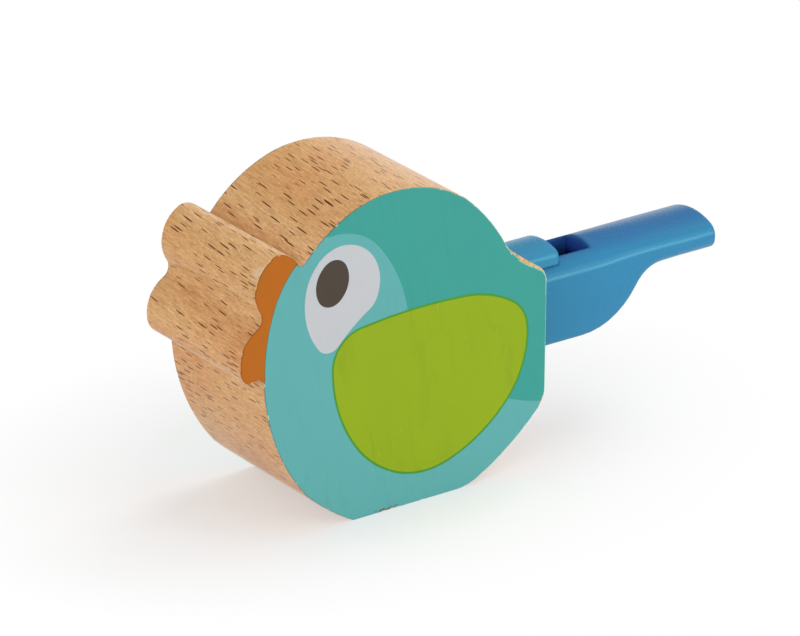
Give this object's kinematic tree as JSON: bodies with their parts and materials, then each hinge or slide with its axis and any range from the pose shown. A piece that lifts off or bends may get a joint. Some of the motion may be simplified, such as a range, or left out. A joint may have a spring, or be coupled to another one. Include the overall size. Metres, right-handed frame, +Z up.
{
  "type": "toy slide whistle",
  "caption": "Toy bird of solid wood with printed faces and a plastic whistle for a tail, which slides in and out over a fixed plunger to change the note.",
  "frame": {"origin": "middle of the flat face that the bird rests on", "axes": "+X from the bird to the mouthpiece of the whistle, +Y through the block away from the front face, +Z up"},
  "size_m": [0.1342, 0.0354, 0.0736],
  "materials": {
    "wood": "smooth, oiled",
    "print_teal": "matt ink",
    "print_dark_teal": "matt ink",
    "print_grey": "matt ink",
    "print_brown": "matt ink",
    "print_green": "matt ink",
    "print_dark_green": "matt ink",
    "print_orange": "matt ink",
    "rod_nylon": "satin",
    "head_plastic": "satin",
    "seal_rubber": "matt",
    "screw_steel": "zinc plated",
    "pad_felt": "felt",
    "whistle_plastic": "satin, moulded",
    "collar_plastic": "satin, moulded"
  },
  "bodies": {
    "bird": {"bird_block": "wood", "front_face_print": "print_teal", "front_back_print": "print_dark_teal", "front_eye_print": "print_grey", "front_pupil_print": "print_brown", "front_wing_print": "print_green", "front_wing_line": "print_dark_green", "front_beak_print": "print_orange", "rear_face_print": "print_teal", "rear_back_print": "print_dark_teal", "rear_eye_print": "print_grey", "rear_pupil_print": "print_brown", "rear_wing_print": "print_green", "rear_wing_line": "print_dark_green", "rear_beak_print": "print_orange", "plunger_rod": "rod_nylon", "plunger_head": "head_plastic", "plunger_seal": "seal_rubber", "head_screw": "screw_steel", "mortise_pad": "pad_felt"},
    "whistle": {"tail_shell": "whistle_plastic", "resonator_tube": "whistle_plastic", "snap_collar": "collar_plastic"}
  },
  "joints": [
    {"name": "whistle_slide", "type": "slide", "parent": "bird", "child": "whistle", "axis": [1, 0, 0], "range_m": [0, 0.03]}
  ]
}
